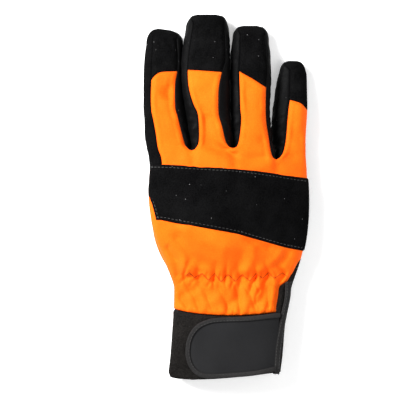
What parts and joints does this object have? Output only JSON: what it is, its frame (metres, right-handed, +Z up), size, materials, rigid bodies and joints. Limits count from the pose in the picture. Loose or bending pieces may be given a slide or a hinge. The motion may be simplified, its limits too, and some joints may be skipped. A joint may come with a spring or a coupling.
{
  "type": "chainsaw work glove",
  "caption": "Right-hand protective work glove lying palm down, its thumb folded underneath, with an orange back, black fingertips and knuckle patch, and a cuff with a wrist strap.",
  "frame": {"origin": "under the middle of the glove's bounding box, on the surface it lies on", "axes": "+Y towards the fingertips, +X towards the little finger's side, +Z up through the back of the hand"},
  "size_m": [0.117, 0.2546, 0.0439],
  "materials": {
    "orange_fabric": "matt brushed knit",
    "black_leather": "matt synthetic suede",
    "black_knit": "matt knit",
    "grey_leather": "matt synthetic suede",
    "strap_rubber": "matt moulded",
    "edge_binding": "woven tape"
  },
  "bodies": {
    "root": {"back_panel": "orange_fabric", "thumb_back": "orange_fabric", "cap_index": "black_leather", "cap_middle": "black_leather", "cap_ring": "black_leather", "cap_little": "black_leather", "index_side": "black_knit", "fourchette_index_middle": "black_knit", "fourchette_middle_ring": "black_knit", "fourchette_ring_little": "black_knit", "palm_panel": "black_leather", "thumb_palm": "black_leather", "thumb_patch": "grey_leather", "index_pad": "black_leather", "middle_pad": "black_leather", "palm_pad": "black_leather", "knuckle_band": "black_leather", "cuff": "black_knit", "side_gusset": "black_knit", "slit_binding": "edge_binding", "strap": "strap_rubber", "strap_binding": "edge_binding"}
  },
  "joints": []
}
